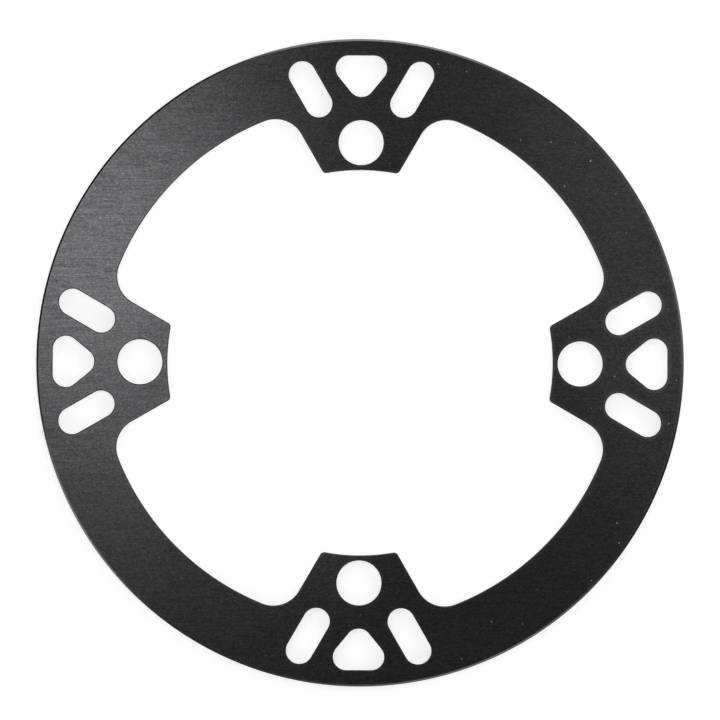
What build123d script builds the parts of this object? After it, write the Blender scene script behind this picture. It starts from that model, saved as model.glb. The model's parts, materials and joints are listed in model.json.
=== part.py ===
from build123d import *
import os
from math import cos, hypot, isclose, radians, sin, sqrt

# Chain guard ring for a bicycle crank: one flat aluminium plate, milled all round.
#
# A plain band runs round the rim. Tabs reach in from the band to the bolt circle, and each carries one
# bolt hole, two slots beside its flanks and a three-cornered window between the slots.
#
# The plate lies on its back face. The origin is the centre of the bolt circle on that face, +Z points
# out through the front face and +X runs along one of the tabs. Lengths are millimetres, angles degrees.

# Bolt holes, one in each tab
tab_count = 4
bolt_circle_dia = 104.0
bolt_hole_dia = 10.6

# Plate: the rim stands this far out past the bolt circle, which makes it 153 across
rim_reach = 24.5
band_width = 15.15
thickness = 3.0

# Tabs: a wall is the metal left between the bolt hole and an edge of the tab
tab_end_wall = 1.2
flank_wall = 6.0
flank_angle = 30.0
root_fillet = 7.0
tip_round = 1.1

# Metal left between the rim and the outer ends of the slots and windows
rim_wall = 3.9

# Slots, parallel to the flanks and a wall away from them
slot_length = 14.3
slot_width = 6.35
slot_flank_wall = 4.0

# Windows, with their flat side towards the rim
window_length = 9.8
window_width = 12.1
window_corner = 3.1

# Edges, on both faces: a shallow bevel round the rim and a finer, even break on every other edge
rim_bevel_width = 0.45
rim_bevel_depth = 0.26
edge_break = 0.2

# Radii from the plate's axis, and directions in the tab that lies along +X
bolt_radius = bolt_circle_dia / 2
hole_radius = bolt_hole_dia / 2
outer_radius = bolt_radius + rim_reach
band_inner_radius = outer_radius - band_width
tab_end_radius = bolt_radius - hole_radius - tab_end_wall
cut_out_radius = outer_radius - rim_wall
flank_offset = hole_radius + flank_wall
bolt_centre = Vector(bolt_radius, 0)
along_flank = Vector(cos(radians(flank_angle)), sin(radians(flank_angle)))
across_flank = Vector(-along_flank.Y, along_flank.X)

# How closely an edge's place has to agree when it is picked by its radius
match_tolerance = 1e-4


def tab():
    """A wedge whose flanks pass flank_offset from the bolt hole's centre, with a concave end."""
    apex = bolt_radius - flank_offset / along_flank.Y
    half_width = (outer_radius - apex) * along_flank.Y / along_flank.X
    wedge = Polygon((apex, 0), (outer_radius, -half_width), (outer_radius, half_width), align=None)
    return wedge & (Circle(outer_radius) - Circle(tab_end_radius))


def bolt_hole():
    """A round clearance hole for a chainring bolt."""
    return Pos(bolt_centre) * Circle(hole_radius)


def slot(side):
    """An obround along one flank, with its outer end rim_wall inside the rim."""
    end_radius = slot_width / 2
    from_bolt = flank_offset - slot_flank_wall - end_radius
    from_axis = from_bolt + bolt_centre.dot(across_flank)
    reach = sqrt((cut_out_radius - end_radius) ** 2 - from_axis**2)
    outer_end = along_flank * reach + across_flank * from_axis
    middle = outer_end - along_flank * (slot_length / 2 - end_radius)
    obround = SlotOverall(slot_length, slot_width, rotation=side * flank_angle)
    return Pos(middle.X, side * middle.Y) * obround


def window():
    """A triangle through the centres of the three corners, grown all round by the corners' radius."""
    base = cut_out_radius - window_corner
    tip = cut_out_radius - window_length + window_corner
    half_base = window_width / 2 - window_corner
    core = Polygon((base, -half_base), (base, half_base), (tip, 0), align=None)
    return offset(core, window_corner, kind=Kind.ARC)


def uprights_at(plate, radius):
    """The plate's edges along Z that stand at this distance from its axis."""
    def stands_there(edge):
        return isclose(hypot(edge.center().X, edge.center().Y), radius, abs_tol=match_tolerance)

    return plate.edges().filter_by(Axis.Z).filter_by(stands_there)


def bevel_rim(plate):
    """Bevels the rim at the back face and at the front: the width lies on the face, the depth on the rim."""
    for end in (0, -1):
        flat = plate.faces().filter_by(Axis.Z).sort_by(Axis.Z)[end]
        plate = chamfer(flat.outer_wire().edges(), rim_bevel_width, rim_bevel_depth, reference=flat)
    return plate


def break_cut_edges(plate):
    """Breaks the edges of the opening and of every cut-out on both faces."""
    flats = plate.faces().filter_by(Axis.Z)
    cut_wires = [wire for flat in flats for wire in flat.inner_wires()]
    return chamfer([edge for wire in cut_wires for edge in wire.edges()], edge_break)


def guard_plate():
    """The band and its tabs, extruded and rounded at the tabs, then cut through and broken at the edges."""
    around = PolarLocations(0, tab_count)
    outline = Circle(outer_radius) - Circle(band_inner_radius) + around * tab()
    plate = extrude(outline, thickness)
    plate = fillet(uprights_at(plate, band_inner_radius), root_fillet)
    plate = fillet(uprights_at(plate, tab_end_radius), tip_round)
    cut_outs = bolt_hole() + slot(1) + slot(-1) + window()
    plate -= extrude(Sketch() + around * cut_outs, thickness)
    return break_cut_edges(bevel_rim(plate))


os.makedirs("parts", exist_ok=True)
export_step(guard_plate(), "parts/guard_plate.step")
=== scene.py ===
# %% [markdown]
# # A chain guard ring in Blender
#
# The object is one flat plate of black anodised aluminium. It bolts to a bicycle's crank beside the largest
# chainring and keeps clothes and shoes off the chain. A plain band runs round the rim, four tabs reach in to
# the bolts, and cut-outs beside the bolts take weight off.
#
# The imported CAD model is loaded first. It is the fixed frame: it says how large the plate is and where it
# lies, in metres, with the back face on z = 0 and the front face up.

# %% Load the frame
import json

import bpy
import numpy as np
from mathutils import Matrix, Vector
from mathutils.geometry import delaunay_2d_cdt


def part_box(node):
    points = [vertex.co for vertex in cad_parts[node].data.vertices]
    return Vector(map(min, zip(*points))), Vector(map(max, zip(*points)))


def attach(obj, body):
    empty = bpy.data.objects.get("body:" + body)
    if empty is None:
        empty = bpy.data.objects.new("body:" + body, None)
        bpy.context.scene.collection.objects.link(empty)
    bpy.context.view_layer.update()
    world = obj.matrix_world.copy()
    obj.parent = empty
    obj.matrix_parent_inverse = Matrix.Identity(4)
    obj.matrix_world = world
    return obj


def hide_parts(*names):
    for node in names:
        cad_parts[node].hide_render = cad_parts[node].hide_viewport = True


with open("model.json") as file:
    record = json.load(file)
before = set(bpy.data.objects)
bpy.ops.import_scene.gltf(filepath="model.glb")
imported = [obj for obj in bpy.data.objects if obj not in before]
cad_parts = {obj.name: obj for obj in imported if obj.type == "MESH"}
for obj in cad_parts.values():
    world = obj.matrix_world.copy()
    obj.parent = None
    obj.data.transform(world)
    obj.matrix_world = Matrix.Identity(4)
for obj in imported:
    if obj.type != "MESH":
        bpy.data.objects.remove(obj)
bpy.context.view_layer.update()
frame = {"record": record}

MM = 0.001

# %% [markdown]
# ## Sizes
#
# A crank sets a guard's main sizes: the circle that the bolts stand on, how many there are and how wide their
# holes are. The record holds these, so they are read from it, and the thickness comes from the CAD node's
# box. The rest are drawing sizes, measured as a machinist would: a reach from the bolt circle, or the wall of
# metal that is left between two cuts.
#
# A round edge made of short straight sides reaches a little further on some sides than on others. The rim is
# therefore drawn with the smallest reach of the CAD node's four sides, which keeps it inside that box.

# %% Sizes
bolts = next(m for m in frame["record"]["mounts"] if m["name"] == "crank_bolts")["dims"]
tab_count = bolts["count"]
bolt_radius = bolts["pcd_mm"] / 2 * MM
hole_radius = bolts["hole_r_mm"] * MM
plate_low, plate_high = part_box("guard_plate")
thickness = plate_high.z
rim_radius = min(-plate_low.x, -plate_low.y, plate_high.x, plate_high.y)

rim_reach = 24.5 * MM
band_width = 15.15 * MM
rim_wall = 3.9 * MM
tab_end_wall = 1.2 * MM
flank_wall = 6.0 * MM
flank_angle = np.radians(30)
root_fillet = 7.0 * MM
tip_round = 1.1 * MM
slot_length = 14.3 * MM
slot_width = 6.35 * MM
slot_flank_wall = 4.0 * MM
window_length = 9.8 * MM
window_width = 12.1 * MM
window_corner = 3.1 * MM

band_radius = bolt_radius + rim_reach - band_width
cut_out_radius = bolt_radius + rim_reach - rim_wall
tab_end_radius = bolt_radius - hole_radius - tab_end_wall
flank_offset = hole_radius + flank_wall
print(f"rim radius {rim_radius / MM:.2f} mm, thickness {thickness / MM:.2f} mm, {tab_count} tabs")

# %% [markdown]
# ## Outlines as chains of arcs
#
# A milling cutter leaves nothing but arcs and straight cuts, so every outline of the plate can be written as
# a chain of arcs. Each straight cut is simply what joins the end of one arc to the start of the next. A curve
# object could draw the same outline, but a chain also knows, at each point, which way the air lies, and the
# edges are carried along on that further down.

# %% A chain of arcs
SAGITTA = 0.003 * MM
SAME_PLACE = 1e-6 * MM
SIDE, ANGLES = 3, slice(4, 6)  # columns in a row of arcs


def chain(arcs, sagitta=SAGITTA):
    """Points along a chain of arcs, and at each the direction that leads from the metal into the air.

    A row of arcs is (centre x, centre y, radius, side, first angle, last angle). A point is the centre plus
    the radius times (cos, sin) of an angle between the two, and its direction is that (cos, sin) times side:
    +1 where the centre lies in the metal and -1 where it lies in the air. An arc of radius r is stepped by
    2 sqrt(2 s / r), which keeps its short straight sides within the sagitta s of the true curve. A point that
    repeats the one before it is dropped, so a whole circle closes by itself. A chain round a hole is run
    backwards, so that on every chain the air lies to the right, and every face can look outwards.
    """
    points, outward = [], []
    for x, y, radius, side, first, last in arcs:
        steps = 1 + int(abs(last - first) / (2 * np.sqrt(2 * sagitta / radius)))
        angle = np.linspace(first, last, steps + 1)
        ray = np.stack([np.cos(angle), np.sin(angle)], axis=1)
        points.append(np.array([x, y]) + radius * ray)
        outward.append(side * ray)
    points, outward = np.concatenate(points), np.concatenate(outward)
    moved = np.linalg.norm(points - np.roll(points, 1, axis=0), axis=1) > SAME_PLACE
    order = 1 if arcs[0][SIDE] > 0 else -1
    return points[moved][::order], outward[moved][::order]


rim = chain([(0, 0, rim_radius, 1, 0, 2 * np.pi)])
print(f"rim of {len(rim[0])} points")

# %% [markdown]
# ## Four tabs, drawn once
#
# Everything but the rim repeats at each tab, so it is drawn once, for the tab on the x axis, and turned about
# the plate's centre. The bolt hole is the simplest: one arc that goes all the way round.

# %% Bolt holes
tab_angles = 2 * np.pi * np.arange(tab_count) / tab_count


def turned(arcs, angle):
    """The same arcs turned about the plate's centre: centres by a rotation, angles by adding."""
    arcs = np.array(arcs, float)
    x, y = arcs[:, 0].copy(), arcs[:, 1].copy()
    arcs[:, 0] = np.cos(angle) * x - np.sin(angle) * y
    arcs[:, 1] = np.sin(angle) * x + np.cos(angle) * y
    arcs[:, ANGLES] += angle
    return arcs


bolt_hole = [(bolt_radius, 0, hole_radius, -1, 0, 2 * np.pi)]
bolt_holes = [chain(turned(bolt_hole, angle)) for angle in tab_angles]
print(f"{len(bolt_holes)} bolt holes of {len(bolt_holes[0][0])} points")

# %% [markdown]
# ## The middle opening
#
# The inside edge runs along the band, turns into a tab through a wide fillet, follows the tab's straight
# flank, rounds its tip and crosses its hollow end, then goes back the same way. The wide fillets keep the
# tabs from cracking off at the root. The tangent point of each rounding is worked out, so that no corner is
# left for a bevel tool to guess.

# %% The middle opening


def tab_edge():
    """One tab's chain, from half-way along the band on one side to half-way on the other.

    The flank is a line at flank_offset from the bolt, leaning by flank_angle. The root fillet's centre lies a
    fillet's radius outside that line and a radius inside the band's circle; the tip's centre lies a tip's
    radius inside the line and a radius outside the tab end's circle. Each centre is the point of its own line
    at that distance from the plate's centre. The lower half is the upper half mirrored and run backwards.
    """
    along = np.array([np.cos(flank_angle), np.sin(flank_angle)])
    across = np.array([-np.sin(flank_angle), np.cos(flank_angle)])
    from_axis = bolt_radius * across[0] + flank_offset

    def centre(offset, reach):
        side = from_axis + offset
        return side * across + np.sqrt(reach**2 - side**2) * along

    root = centre(root_fillet, band_radius - root_fillet)
    tip = centre(-tip_round, tab_end_radius + tip_round)
    root_at = np.arctan2(root[1], root[0])
    tip_at = np.arctan2(tip[1], tip[0])
    upper = [
        (*tip, tip_round, 1, np.pi + tip_at, flank_angle + np.pi / 2),
        (*root, root_fillet, -1, flank_angle - np.pi / 2, root_at),
        (0, 0, band_radius, -1, root_at, np.pi / tab_count),
    ]
    lower = [(x, -y, radius, side, -last, -first) for x, y, radius, side, first, last in upper[::-1]]
    return lower + [(0, 0, tab_end_radius, -1, -tip_at, tip_at)] + upper


opening = chain(np.concatenate([turned(tab_edge(), angle) for angle in tab_angles]))
print(f"opening of {len(opening[0])} points")

# %% [markdown]
# ## Slots and windows
#
# Beside each bolt the plate is lightened by two slots that follow the tab's flanks, and outside the bolt by a
# small window with its flat side to the rim. A slot is what a cutter leaves when it plunges and travels once:
# two half circles. A window is three rounded corners.

# %% Slots


def slot(side):
    """A slot beside a bolt: half circles about both ends of its middle line, which is parallel to the flank.

    The middle line lies slot_flank_wall and half a width inside the flank, and its outer half circle touches
    the circle of cut_out_radius.
    """
    end_radius = slot_width / 2
    angle = side * flank_angle
    along = np.array([np.cos(angle), np.sin(angle)])
    across = side * np.array([-np.sin(angle), np.cos(angle)])
    from_axis = bolt_radius * across[0] + flank_offset - slot_flank_wall - end_radius
    far = across * from_axis + along * np.sqrt((cut_out_radius - end_radius) ** 2 - from_axis**2)
    near = far - along * (slot_length - slot_width)
    return [
        (*far, end_radius, -1, angle - np.pi / 2, angle + np.pi / 2),
        (*near, end_radius, -1, angle + np.pi / 2, angle + 3 * np.pi / 2),
    ]


slots = [chain(turned(slot(side), angle)) for angle in tab_angles for side in (-1, 1)]
print(f"{len(slots)} slots of {len(slots[0][0])} points")

# %% Windows


def window():
    """A window: arcs about three corners. A side's own direction, a quarter turn on, is where an arc ends."""
    base = cut_out_radius - window_corner
    tip = base - (window_length - 2 * window_corner)
    half = window_width / 2 - window_corner
    lean = np.arctan2(half, base - tip) + np.pi / 2
    return [
        (base, -half, window_corner, -1, -lean, 0),
        (base, half, window_corner, -1, 0, lean),
        (tip, 0, window_corner, -1, lean, 2 * np.pi - lean),
    ]


windows = [chain(turned(window(), angle)) for angle in tab_angles]
print(f"{len(windows)} windows of {len(windows[0][0])} points")

# %% [markdown]
# ## Edge sections
#
# A sharp edge on a computer looks like cut paper, and no milled edge is that sharp. The rim has a shallow
# bevel, wide enough to catch a line of light, and every other edge has a fine break at 45 degrees. The
# etching bath before anodising has softened the corners of both. The section is once more a chain of arcs,
# run from the front face, down the wall, to the back face. A Bevel modifier would do for a block, but here it
# would have to find its way round small radii.

# %% Edge sections
RIM_BEVEL = (0.45 * MM, 0.26 * MM)
EDGE_BREAK = (0.2 * MM, 0.2 * MM)
CORNER_SOFTNESS = 0.06 * MM
SECTION_SAGITTA = 0.0005 * MM


def edge_section(cut):
    """Points (distance past the outline, height) of an edge with a flat cut, and their directions.

    The cut is (width on the face, depth down the wall), so it looks up at an angle of atan(width / depth). A
    rounding of radius r on a corner that turns by an angle t starts r tan(t / 2) before the corner.
    """
    width, depth = cut
    soft = CORNER_SOFTNESS
    cut_faces = np.arctan2(width, depth)
    top_lead = soft * np.tan((np.pi / 2 - cut_faces) / 2)
    wall_lead = soft * np.tan(cut_faces / 2)
    front = [
        (-width - top_lead, thickness - soft, soft, 1, np.pi / 2, cut_faces),
        (-soft, thickness - depth - wall_lead, soft, 1, cut_faces, 0),
    ]
    back = [(x, thickness - z, r, side, -last, -first) for x, z, r, side, first, last in front[::-1]]
    return chain(front + back, SECTION_SAGITTA)


rim_section = edge_section(RIM_BEVEL)
cut_section = edge_section(EDGE_BREAK)
print(f"{len(rim_section[0])} points down the rim's edge, {len(cut_section[0])} down the others")

# %% [markdown]
# ## Edges: a section carried along an outline
#
# Sweeping the section along an outline gives one closed strip of quads. Because both chains know their
# directions, the strip's shading normals are exact: the flat cuts stay flat and the curves stay smooth, with
# no guess from the neighbouring faces.

# %% Edges


def edge_strip(outline, section):
    """The section carried along the outline, as a grid of vertices with normals, quads and their UV corners.

    Vertex (i, j) is outline point i moved along its own outward direction by the section's distance j, at the
    section's height j. Its normal is that outward direction times the section's sideways part, with the
    section's upward part as z. UV is the length along the outline and the length down the section, in metres.
    """
    points, outward = outline
    profile, facing = section
    rows, columns = len(points), len(profile)
    place = points[:, None, :] + outward[:, None, :] * profile[None, :, :1]
    height = np.broadcast_to(profile[None, :, 1:], (rows, columns, 1))
    normal = outward[:, None, :] * facing[None, :, :1]
    lift = np.broadcast_to(facing[None, :, 1:], (rows, columns, 1))
    vertices = np.concatenate([place, height], axis=2).reshape(-1, 3)
    normals = np.concatenate([normal, lift], axis=2).reshape(-1, 3)

    step = np.linalg.norm(np.roll(points, -1, axis=0) - points, axis=1)
    run = np.concatenate([[0], np.cumsum(step)])
    drop = np.concatenate([[0], np.cumsum(np.linalg.norm(np.diff(profile, axis=0), axis=1))])
    i, j = np.meshgrid(np.arange(rows), np.arange(columns - 1), indexing="ij")
    corner_i = np.stack([i, i, i + 1, i + 1], axis=2)
    corner_j = np.stack([j, j + 1, j + 1, j], axis=2)
    quads = (corner_i % rows * columns + corner_j).reshape(-1, 4)
    uv = np.stack([run[corner_i], drop[corner_j]], axis=3).reshape(-1, 2)
    return vertices, normals, quads, uv


cut_outs = [opening, *bolt_holes, *slots, *windows]
outlines = [rim, *cut_outs]
sections = [rim_section] + [cut_section] * len(cut_outs)
strips = [edge_strip(outline, section) for outline, section in zip(outlines, sections)]
print(f"{len(strips)} edges with {sum(len(quads) for _, _, quads, _ in strips)} quads")

# %% [markdown]
# ## Faces
#
# The two faces are flat sheet, and their borders are the first and the last ring of each strip. A constrained
# triangulation fills a border full of holes in one go. It fills the holes as well, so a triangle stays only
# if a line drawn from its middle to the right crosses the borders an odd number of times.

# %% Faces
WELD = 1e-4 * MM
WHOLE_HULL = 0  # the triangulation's mode that fills everything


def sheet_between(rings):
    """Triangles, as places in the joined list of ring points, that cover what lies between the rings.

    A border from a to b is crossed by the line from a middle point p to the right where a and b lie above and
    below p and the border is right of p at that height. Each triangle is then put the anticlockwise way.
    """
    flat = np.concatenate(rings)
    starts = np.cumsum([0] + [len(ring) for ring in rings[:-1]])
    places = [start + np.arange(len(ring)) for start, ring in zip(starts, rings)]
    borders = np.concatenate([np.stack([place, np.roll(place, -1)], axis=1) for place in places])
    _, _, filled, *_ = delaunay_2d_cdt(flat.tolist(), borders.tolist(), [], WHOLE_HULL, WELD)
    triangles = np.array(filled)
    a, b = flat[borders[:, 0]], flat[borders[:, 1]]
    middle = flat[triangles].mean(axis=1)[:, None, :]
    straddles = (a[:, 1] > middle[..., 1]) != (b[:, 1] > middle[..., 1])
    rise = np.where(b[:, 1] == a[:, 1], 1.0, b[:, 1] - a[:, 1])
    meets = a[:, 0] + (middle[..., 1] - a[:, 1]) / rise * (b[:, 0] - a[:, 0])
    inside = (straddles & (meets > middle[..., 0])).sum(axis=1) % 2 == 1
    triangles = triangles[inside]
    p, q, r = flat[triangles[:, 0]], flat[triangles[:, 1]], flat[triangles[:, 2]]
    clockwise = (q - p)[:, 0] * (r - p)[:, 1] - (q - p)[:, 1] * (r - p)[:, 0] < 0
    triangles[clockwise] = triangles[clockwise][:, ::-1]
    return triangles


rings = [points + outward * profile[0, 0] for (points, outward), (profile, _) in zip(outlines, sections)]
sheet = sheet_between(rings)
print(f"{len(sheet)} triangles on each face")

# %% [markdown]
# ## The plate as one mesh
#
# Strips and faces share their vertices, so the plate is one closed skin, as the real one is one piece of
# metal. The faces keep plain x and y as UV, which the brushed finish reads as its grain direction, and the
# edges keep their lengths. Material 0 is for the faces and material 1 for the edges, because a brush goes
# over the first and a cutter round the second.

# %% The plate as one mesh
FACE, EDGE = 0, 1


def plate_mesh(name):
    """Joins the strips and the two faces into one mesh.

    Strip vertices are numbered one strip after another. A face's corners are the first column of each strip,
    or the last for the back, where the triangles run the other way round.
    """
    strip_vertices, strip_normals, strip_quads, strip_uv = zip(*strips)
    counts = np.array([len(part) for part in strip_vertices])
    bases = np.cumsum(counts) - counts
    vertices, normals = np.concatenate(strip_vertices), np.concatenate(strip_normals)
    quads = np.concatenate([base + part for base, part in zip(bases, strip_quads)])
    spans = list(zip(bases, counts, [len(profile) for profile, _ in sections]))
    front = np.concatenate([np.arange(base, base + count, width) for base, count, width in spans])
    back = np.concatenate([np.arange(base + width - 1, base + count, width) for base, count, width in spans])
    faces = np.concatenate([front[sheet], back[sheet[:, ::-1]]])
    corners = np.concatenate([quads.ravel(), faces.ravel()])
    numbers = [len(quads), len(faces)]
    sides = np.repeat([quads.shape[1], faces.shape[1]], numbers)

    mesh = bpy.data.meshes.new(name)
    mesh.vertices.add(len(vertices))
    mesh.vertices.foreach_set("co", vertices.ravel())
    mesh.loops.add(len(corners))
    mesh.loops.foreach_set("vertex_index", corners)
    mesh.polygons.add(len(sides))
    mesh.polygons.foreach_set("loop_start", np.concatenate([[0], np.cumsum(sides)[:-1]]))
    mesh.polygons.foreach_set("material_index", np.repeat([EDGE, FACE], numbers))
    mesh.update(calc_edges=True)
    grain = mesh.uv_layers.new(name="grain")
    grain.data.foreach_set("uv", np.concatenate([*strip_uv, vertices[faces.ravel(), :2]]).ravel())
    mesh.polygons.foreach_set("use_smooth", np.ones(len(sides), bool))
    mesh.normals_split_custom_set_from_vertices(normals.tolist())
    mesh.validate()
    return mesh


ring_mesh = plate_mesh("guard_ring")
print(f"{len(ring_mesh.vertices)} vertices, {len(ring_mesh.polygons)} polygons")

# %% [markdown]
# ## The plate takes the CAD node's place
#
# The finished piece stands for the CAD node, which stays for collision and is no longer shown. The plate has
# no joints, so it rides on the only body, the root.

# %% The plate takes the CAD node's place
guard_ring = bpy.data.objects.new("guard_ring", ring_mesh)
bpy.context.collection.objects.link(guard_ring)
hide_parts("guard_plate")
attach(guard_ring, "root")
print(f"{guard_ring.name} stands for guard_plate")

# %% [markdown]
# ## Materials from code
#
# A material is a graph of nodes. Wiring it by hand in the editor is quick for one material, but a script says
# it exactly and can say it again. A few small helpers let the graph be written like a sum: one adds a node,
# one does arithmetic, one adds up weighted parts, one is a ramp, and one makes noise in streaks.

# %% Node helpers
NOISE_ROUGHNESS = 0.6
NOISE_MIDDLE = 0.5


def add(tree, kind, sockets=None, **settings):
    """Adds a shader node: settings are its own fields, and a socket gets a value or a link from an output."""
    node = tree.nodes.new(kind)
    for name, value in settings.items():
        setattr(node, name, value)
    for name, value in (sockets or {}).items():
        if isinstance(value, bpy.types.NodeSocket):
            tree.links.new(value, node.inputs[name])
        else:
            node.inputs[name].default_value = value
    return node


def amount(tree, operation, *values):
    """One Math node's answer for numbers or outputs, such as MULTIPLY_ADD: first times second plus third."""
    return add(tree, "ShaderNodeMath", dict(enumerate(values)), operation=operation).outputs[0]


def weighted(tree, start, *parts):
    """Start plus each part's output times its weight, as one multiply-add after another."""
    total = start
    for output, weight in parts:
        total = amount(tree, "MULTIPLY_ADD", output, weight, total)
    return total


def ramp(tree, value, between, answers, shape="LINEAR"):
    """A Map Range node: goes from the first answer to the second as the value crosses the two limits."""
    limits = {"From Min": between[0], "From Max": between[1], "To Min": answers[0], "To Max": answers[1]}
    node = add(tree, "ShaderNodeMapRange", {"Value": value, **limits}, interpolation_type=shape)
    return node.outputs[0]


def streaks(tree, coordinates, length, width, detail, seed):
    """Noise about zero in streaks: coordinates are divided by length along x and by width along y.

    The seed moves the plate to another height in the noise. It isn't a whole number, because at whole heights
    this noise is zero on every point of its grid, and the grid would show.
    """
    stretch = {"Vector": coordinates, "Scale": (1 / length, 1 / width, 0), "Location": (seed, seed, seed)}
    scaled = add(tree, "ShaderNodeMapping", stretch).outputs[0]
    kind = {"Vector": scaled, "Scale": 1.0, "Detail": detail, "Roughness": NOISE_ROUGHNESS}
    noise = add(tree, "ShaderNodeTexNoise", kind).outputs[0]
    return amount(tree, "SUBTRACT", noise, NOISE_MIDDLE)


def new_finish(name):
    """A new material with its node tree and its shader."""
    finish = bpy.data.materials.new(name)
    finish.use_nodes = True
    return finish, finish.node_tree, finish.node_tree.nodes["Principled BSDF"]


BLACK_DYE = (0.059, 0.059, 0.061)
print("black dye reflects", BLACK_DYE)

# %% [markdown]
# ## Brushed black anodising
#
# The sheet was brushed in one direction, etched, anodised and dyed black. The dye swallows most light, so the
# base colour is nearly black. Four kinds of unevenness show in it: long scratches along x; short nicks, where
# the brush skipped; a fine mottle from the etching bath; and slow clouds. Two things of light are also
# painted into that colour: the scratches are painted stronger towards the upper left, where the softbox's
# sheen lies on the plate, and the mottle's highest points are painted paler as glints. Noise on stretched
# coordinates gives each of them. An image of brushed metal would do the same, but it repeats, and it blurs
# when the camera comes close.

# %% Four kinds of unevenness
face_finish, face_tree, face_shader = new_finish("brushed_black_anodising")
on_plate = add(face_tree, "ShaderNodeTexCoord").outputs["Object"]
axes = add(face_tree, "ShaderNodeSeparateXYZ", {0: on_plate}).outputs
scratches = streaks(face_tree, on_plate, length=6.0 * MM, width=0.27 * MM, detail=2.0, seed=3.3)
nicks = streaks(face_tree, on_plate, length=1.0 * MM, width=0.42 * MM, detail=1.0, seed=9.3)
mottle = streaks(face_tree, on_plate, length=0.42 * MM, width=0.36 * MM, detail=1.0, seed=17.3)
clouds = streaks(face_tree, on_plate, length=30.0 * MM, width=14.0 * MM, detail=2.0, seed=41.3)
print(f"unevenness from {len(face_tree.nodes)} nodes")

# %% Brushing
# Painted sheen: the scratches' tone is weighted up towards the upper left, where the key softbox's highlight
# lies, so that they stand out there as they would in a sheen.
SHEEN_STREAKS_TOWARDS = np.radians(157)
FAINT_STREAKS_AT, STRONG_STREAKS_AT = 52 * MM, 64 * MM
FAINT_STREAKS, STRONG_STREAKS = 0.7, 1.3
GLINT_FROM, GLINT_FULL = 0.12, 0.35
BRIGHTEST_GLINT = 0.7
SCRATCH_TONE, NICK_TONE, MOTTLE_TONE, CLOUD_TONE = 1.0, 0.8, 1.15, 0.25
reach = weighted(face_tree, 0.0, (axes["X"], np.cos(SHEEN_STREAKS_TOWARDS)), (axes["Y"], np.sin(SHEEN_STREAKS_TOWARDS)))
painted_sheen_weight = ramp(face_tree, reach, (FAINT_STREAKS_AT, STRONG_STREAKS_AT), (FAINT_STREAKS, STRONG_STREAKS))
# The real scratches, painted stronger where the sheen lies.
grooves_and_sheen = amount(face_tree, "MULTIPLY", scratches, painted_sheen_weight)
# Painted glints: where the mottle stands highest, the base colour is made paler.
painted_glints = ramp(face_tree, mottle, (GLINT_FROM, GLINT_FULL), (0.0, BRIGHTEST_GLINT))
streaked = weighted(face_tree, 1.0, (grooves_and_sheen, SCRATCH_TONE), (nicks, NICK_TONE))
speckled = weighted(face_tree, painted_glints, (mottle, MOTTLE_TONE), (clouds, CLOUD_TONE))
tone = amount(face_tree, "ADD", streaked, speckled)
# The dye's colour, with the painted glints and the painted sheen of the scratches in it.
dye_and_painted_light = add(face_tree, "ShaderNodeVectorMath", {0: BLACK_DYE, "Scale": tone}, operation="SCALE").outputs[0]
print(f"brushing from {len(face_tree.nodes)} nodes")

# %% [markdown]
# ## Dust
#
# A black plate shows every grain of dust. Here a few pale grains lie about, most of them towards +x, as if
# air had carried them there. A Voronoi texture scatters one point in each cell: a lottery by cell decides
# whether it is a grain at all, how large it is and how thickly it covers the black. Real grains as little
# meshes would cost thousands of faces for specks of a fraction of a millimetre.

# %% Dust grains
DUST_SPACING = 6.0 * MM
FEW_GRAINS_AT, MANY_GRAINS_AT = -5 * MM, 45 * MM
FEW_GRAINS, MANY_GRAINS = 0.05, 0.5
SMALLEST_GRAIN, GRAIN_SPREAD = 0.014, 0.021  # radii as shares of the spacing
THINNEST_COVER, COVER_SPREAD = 0.25, 0.65
scatter = {"Vector": on_plate, "Scale": 1 / DUST_SPACING, "Randomness": 1.0}
cells = add(face_tree, "ShaderNodeTexVoronoi", scatter, voronoi_dimensions="2D")
lottery = add(face_tree, "ShaderNodeSeparateColor", {0: cells.outputs["Color"]}).outputs
share = ramp(face_tree, axes["X"], (FEW_GRAINS_AT, MANY_GRAINS_AT), (FEW_GRAINS, MANY_GRAINS))
chosen = amount(face_tree, "LESS_THAN", lottery["Red"], share)
grain_radius = weighted(face_tree, SMALLEST_GRAIN, (lottery["Green"], GRAIN_SPREAD))
inside_grain = amount(face_tree, "LESS_THAN", cells.outputs["Distance"], grain_radius)
cover = weighted(face_tree, THINNEST_COVER, (lottery["Blue"], COVER_SPREAD))
grains = amount(face_tree, "MULTIPLY", amount(face_tree, "MULTIPLY", chosen, inside_grain), cover)
largest_grain = 2 * (SMALLEST_GRAIN + GRAIN_SPREAD) * DUST_SPACING
print(f"dust grains of up to {largest_grain / MM:.2f} mm")

# %% [markdown]
# ## A paler edge
#
# Along the edges the black is painted a shade paler, most of it towards +x: a painted sheen for the light
# that the edges catch, mixed in with the same grey as the dust. The shader has to know how near an edge is.
# Rings of extra vertices could carry that, but they would cross one another in the thin webs. An Ambient
# Occlusion node turned inwards feels for the walls from inside the metal instead: well away from any edge its
# rays meet nothing and it answers 1.

# %% Painted sheen along the edges
EDGE_REACH = 1.2 * MM
FAINT_SHEEN_AT, STRONG_SHEEN_AT = 25 * MM, 65 * MM
FAINT_SHEEN, STRONG_SHEEN = 0.06, 0.30
FEELER_RAYS = 8
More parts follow.
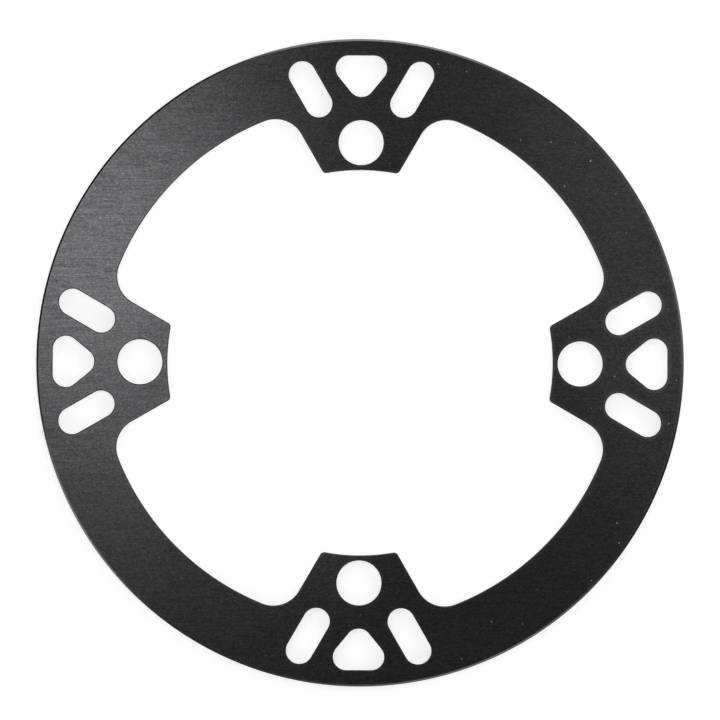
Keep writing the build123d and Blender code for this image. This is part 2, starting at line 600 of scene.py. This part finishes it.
# Painted sheen: near every edge a paler grey is mixed into the colour, strongest towards +x, for the light
# that the edges catch.
strongest_sheen = ramp(face_tree, axes["X"], (FAINT_SHEEN_AT, STRONG_SHEEN_AT), (FAINT_SHEEN, STRONG_SHEEN))
feeling = {"inside": True, "only_local": True, "samples": FEELER_RAYS}
inwards = add(face_tree, "ShaderNodeAmbientOcclusion", {"Distance": EDGE_REACH}, **feeling)
nearness = amount(face_tree, "SUBTRACT", 1.0, inwards.outputs["AO"])
painted_edge_sheen = amount(face_tree, "MULTIPLY", nearness, strongest_sheen)
# The grey's mix factor: the real dust grains and the painted edge sheen together.
dust_and_sheen = amount(face_tree, "MAXIMUM", grains, painted_edge_sheen)
# Prints the reach of the painted edge sheen.
print(f"veil of dust up to {EDGE_REACH / MM:.1f} mm from each edge")

# %% [markdown]
# ## The face's shader
#
# Along a scratch the surface is smooth and across it is rough, so a highlight spreads across the grain: that
# is the anisotropy. The tangent from the grain map says which way the grain runs, and a quarter turn lays the
# spread across it. The scratches also move the roughness a little and raise a very small bump. A grain of
# dust is no metal, so there the metallic value drops; it also drops under the painted sheen along the edges,
# which is mixed in with the dust's grey.

# %% The face's shader
# The grey of the dust grains, also used for the painted edge sheen.
DUST_AND_SHEEN_GREY = (0.4, 0.4, 0.39, 1)
BRUSHED_ROUGHNESS = 0.30
SCRATCH_ROUGHNESS = -0.08
SCRATCH_DEPTH = 0.004 * MM
SCRATCH_RELIEF = 0.25
GRAIN_STRENGTH = 0.4
QUARTER_TURN = 0.25
roughness = weighted(face_tree, BRUSHED_ROUGHNESS, (scratches, SCRATCH_ROUGHNESS))
bump = {"Height": scratches, "Strength": SCRATCH_RELIEF, "Distance": SCRATCH_DEPTH}
relief = add(face_tree, "ShaderNodeBump", bump)
dust_and_sheen_colour = add(face_tree, "ShaderNodeMix", {"Factor": dust_and_sheen, "A": dye_and_painted_light, "B": DUST_AND_SHEEN_GREY}, data_type="RGBA")
grain_way = add(face_tree, "ShaderNodeTangent", direction_type="UV_MAP", uv_map="grain")
face_shader.inputs["Anisotropic"].default_value = GRAIN_STRENGTH
face_shader.inputs["Anisotropic Rotation"].default_value = QUARTER_TURN
for socket, output in {
    "Base Color": dust_and_sheen_colour.outputs["Result"],
    "Metallic": amount(face_tree, "SUBTRACT", 1.0, dust_and_sheen),
    "Roughness": roughness,
    "Normal": relief.outputs[0],
    "Tangent": grain_way.outputs[0],
}.items():
    face_tree.links.new(output, face_shader.inputs[socket])
guard_ring.data.materials.append(face_finish)
print(f"{face_finish.name}: {len(face_tree.nodes)} nodes")

# %% [markdown]
# ## Milled edges
#
# The cutter leaves its own marks on the walls and bevels: long feed lines that run along the edge, and short
# chatter across it where the cutter hummed. They follow the edge round every corner, so they are drawn on the
# strip's UV map, whose first number is the length along the edge, and not on the plate's x and y. Bare cut
# metal takes up a little less dye than a brushed and etched face, so the edges are a shade paler.

# %% Milled edges
EDGE_DYE = (0.075, 0.075, 0.078)
FEED_TONE, CHATTER_TONE = 0.5, 0.3
MILLED_ROUGHNESS, MARK_ROUGHNESS = 0.26, -0.1
edge_finish, edge_tree, edge_shader = new_finish("milled_black_anodising")
along_edge = add(edge_tree, "ShaderNodeUVMap", uv_map="grain").outputs[0]
feed_lines = streaks(edge_tree, along_edge, length=6.0 * MM, width=0.08 * MM, detail=2.0, seed=5.3)
chatter = streaks(edge_tree, along_edge, length=0.5 * MM, width=3.0 * MM, detail=1.0, seed=23.3)
milling = weighted(edge_tree, 0.0, (feed_lines, FEED_TONE), (chatter, CHATTER_TONE))
edge_tone = amount(edge_tree, "ADD", milling, 1.0)
edge_dyed = add(edge_tree, "ShaderNodeVectorMath", {0: EDGE_DYE, "Scale": edge_tone}, operation="SCALE")
edge_tree.links.new(edge_dyed.outputs[0], edge_shader.inputs["Base Color"])
milled_roughness = weighted(edge_tree, MILLED_ROUGHNESS, (milling, MARK_ROUGHNESS))
edge_tree.links.new(milled_roughness, edge_shader.inputs["Roughness"])
edge_shader.inputs["Metallic"].default_value = 1.0
guard_ring.data.materials.append(edge_finish)
print(f"{edge_finish.name}: {len(edge_tree.nodes)} nodes")

# %% [markdown]
# ## Floor
#
# The plate lies on a wide sheet of white paper, which is stage and not part of the object. It is a disc of
# rings and rays, far wider than any view.

# %% Floor
FLOOR_RADIUS = 4.0
FLOOR_RINGS = np.array([0.01, 0.05, 0.2, 1.0]) * FLOOR_RADIUS
FLOOR_RAYS = 96


def floor_disc():
    """Rings of points (radius times cos, radius times sin, 0), joined by quads, with the middle filled."""
    angle = 2 * np.pi * np.arange(FLOOR_RAYS) / FLOOR_RAYS
    rays = np.stack([np.cos(angle), np.sin(angle), np.zeros(FLOOR_RAYS)], axis=1)
    points = FLOOR_RINGS[:, None, None] * rays[None, :, :]
    here = np.arange(points[..., 0].size).reshape(len(FLOOR_RINGS), FLOOR_RAYS)
    after = np.roll(here, -1, axis=1)
    quads = np.stack([here[:-1], here[1:], after[1:], after[:-1]], axis=2)
    return points.reshape(-1, 3).tolist(), quads.reshape(-1, 4).tolist() + [here[0].tolist()]


floor_mesh = bpy.data.meshes.new("studio_floor")
floor_points, floor_faces = floor_disc()
floor_mesh.from_pydata(floor_points, [], floor_faces)
studio_floor = bpy.data.objects.new("studio_floor", floor_mesh)
bpy.context.collection.objects.link(studio_floor)
print(f"floor of {len(floor_mesh.polygons)} faces, {2 * FLOOR_RADIUS:.0f} m across")

# %% [markdown]
# ## White paper
#
# In the picture the ground is plain white. Flooding the plate with light would get there, but black metal
# would turn grey. Instead the paper glows, but only for rays that come from the eye or from a reflection:
# the lamps still light the plate as before. Its matt part receives light and shadow, so a faint shadow
# along the plate's edge stays.

# %% White paper
PAPER_GREY = (0.6, 0.6, 0.6, 1)
PAPER_GLOW = 0.7
paper = bpy.data.materials.new("white_paper")
paper.use_nodes = True
paper_tree = paper.node_tree
paper_tree.nodes.remove(paper_tree.nodes["Principled BSDF"])
ray = add(paper_tree, "ShaderNodeLightPath").outputs
mirrored = amount(paper_tree, "MAXIMUM", ray["Is Glossy Ray"], ray["Is Transmission Ray"])
seen = amount(paper_tree, "MAXIMUM", ray["Is Camera Ray"], mirrored)
glow_strength = amount(paper_tree, "MULTIPLY", seen, PAPER_GLOW)
matt = add(paper_tree, "ShaderNodeBsdfDiffuse", {"Color": PAPER_GREY})
glow = add(paper_tree, "ShaderNodeEmission", {"Strength": glow_strength})
lit_paper = add(paper_tree, "ShaderNodeAddShader", {0: matt.outputs[0], 1: glow.outputs[0]})
paper_tree.links.new(lit_paper.outputs[0], paper_tree.nodes["Material Output"].inputs["Surface"])
floor_mesh.materials.append(paper)
print(f"{paper.name} glows with {PAPER_GLOW}")

# %% [markdown]
# ## Lights
#
# A flat dark mirror shows its lamps more than it shows itself. One softbox hangs over the plate, towards the
# left, and its reflection, spread by the brushing, is the pale patch on the left half of the plate. A dimmer,
# larger and closer one on the right keeps that half from going black, and a small dim card low over the lower
# tab lifts its inner end. Point lamps would do for a matt object, but here they would be small hard glints.

# %% Softboxes


def softbox(name, place, size, radiance):
    """A rectangle lamp at place that faces the plate's middle, with its first side square to the y axis.

    Its own z points back from the plate, its x is across that and the y axis, and its y is across both. A
    lamp of area A that sends out a power P shines with a radiance of P / (pi A).
    """
    back = np.array(place) / np.linalg.norm(place)
    level = np.cross((0, 1, 0), back)
    level /= np.linalg.norm(level)
    turn = np.stack([level, np.cross(back, level), back], axis=1)
    lamp = bpy.data.lights.new(name, "AREA")
    lamp.shape = "RECTANGLE"
    lamp.size, lamp.size_y = size
    lamp.energy = radiance * np.pi * size[0] * size[1]
    holder = bpy.data.objects.new(name, lamp)
    holder.matrix_world = Matrix.Translation(place) @ Matrix(turn.tolist()).to_4x4()
    holder.visible_camera = False
    bpy.context.collection.objects.link(holder)
    print(f"{name}: {lamp.energy:.3f} W")


softbox("key", place=(-0.068, 0.031, 0.249), size=(0.056, 0.072), radiance=6.3)
softbox("fill", place=(0.106, 0.054, 0.114), size=(0.18, 0.18), radiance=0.51)
softbox("card", place=(-0.014, -0.042, 0.05), size=(0.03, 0.02), radiance=0.33)

# %% [markdown]
# ## Lines of light on the rim
#
# The bevel leans outwards, so it mirrors what stands low around the plate and not what hangs above it. Four
# low strips give it the bright line that it has at the top, on the right, along the bottom and at the lower
# left. Nothing stands on the upper left, where the bevel stays a dark line against the pale face.

# %% Strip lights
STRIP_DISTANCE = 0.6
STRIP_RISE = np.radians(30)
STRIP_BREADTH = 0.25


def strip_light(name, azimuth, length, radiance):
    """A low softbox: a point STRIP_DISTANCE out and STRIP_RISE up, turned about z by azimuth degrees.

    Its length is square to the y axis, so it lies level at the top and bottom and stands steep at the sides.
    """
    turn = np.radians(azimuth)
    out, up = STRIP_DISTANCE * np.cos(STRIP_RISE), STRIP_DISTANCE * np.sin(STRIP_RISE)
    softbox(name, (out * np.cos(turn), out * np.sin(turn), up), (length, STRIP_BREADTH), radiance)


strip_light("strip_top", azimuth=87, length=0.36, radiance=3.8)
strip_light("strip_right", azimuth=12, length=0.5, radiance=1.4)
strip_light("strip_lower_left", azimuth=210, length=0.28, radiance=2.5)
strip_light("strip_bottom", azimuth=288, length=0.76, radiance=1.75)

# %% [markdown]
# ## The room
#
# The world is an even, dim room with pale walls low down. It fills in what the lamps leave, and the pale
# horizon is what the walls of the plate mirror in a view from the side.

# %% The room
HORIZON_GLOW, CEILING_GLOW = 0.6, 0.15
WALL_FOOT, WALL_TOP = 0.03, 0.17
room = bpy.data.worlds.new("room")
room.use_nodes = True
room_tree = room.node_tree
background = room_tree.nodes["Background"]
background.inputs["Color"].default_value = (1, 1, 1, 1)
direction = add(room_tree, "ShaderNodeTexCoord").outputs["Generated"]
height = add(room_tree, "ShaderNodeSeparateXYZ", {0: direction}).outputs["Z"]
room_glow = ramp(room_tree, height, (WALL_FOOT, WALL_TOP), (HORIZON_GLOW, CEILING_GLOW), "SMOOTHSTEP")
room_tree.links.new(room_glow, background.inputs["Strength"])
bpy.context.scene.world = room
print(f"room glows with {HORIZON_GLOW} at the horizon and {CEILING_GLOW} above")

# %% [markdown]
# ## Camera
#
# The photograph looks straight down on the plate from far away, with a long lens: no wall of a cut-out shows.
# The scale, the small roll and the place of the plate's centre in the picture are the ones at which the drawn
# outlines lie on the photographed ones. A small shift of the lens puts the centre in its place, where a turn
# of the camera would make the far side of the ring smaller.

# %% Camera
IMAGE_SIDE = 720
CENTRE_IN_IMAGE = (360.03, 362.82)
PIXELS_PER_METRE = 4234.7
CAMERA_DISTANCE = 2.5
CAMERA_ROLL = np.radians(0.29)
SENSOR_WIDTH = 36
NEAREST_SEEN, FARTHEST_SEEN = 0.01, 20
lens = bpy.data.cameras.new("eye")
lens.sensor_width = SENSOR_WIDTH
lens.lens = SENSOR_WIDTH * PIXELS_PER_METRE * CAMERA_DISTANCE / IMAGE_SIDE
lens.shift_x = 0.5 - CENTRE_IN_IMAGE[0] / IMAGE_SIDE
lens.shift_y = CENTRE_IN_IMAGE[1] / IMAGE_SIDE - 0.5
lens.clip_start, lens.clip_end = NEAREST_SEEN, FARTHEST_SEEN
eye = bpy.data.objects.new("eye", lens)
eye.location = (0, 0, thickness + CAMERA_DISTANCE)
eye.rotation_euler = (0, 0, CAMERA_ROLL)
bpy.context.collection.objects.link(eye)
bpy.context.scene.camera = eye
bpy.context.scene.view_settings.view_transform = "Standard"
print(f"camera of {lens.lens:.0f} mm, shifted by {lens.shift_x:.4f} and {lens.shift_y:.4f}")

# %% [markdown]
# ## Update
#
# The view layer is brought up to date, so that every object stands where the script put it.

# %% Update
bpy.context.view_layer.update()
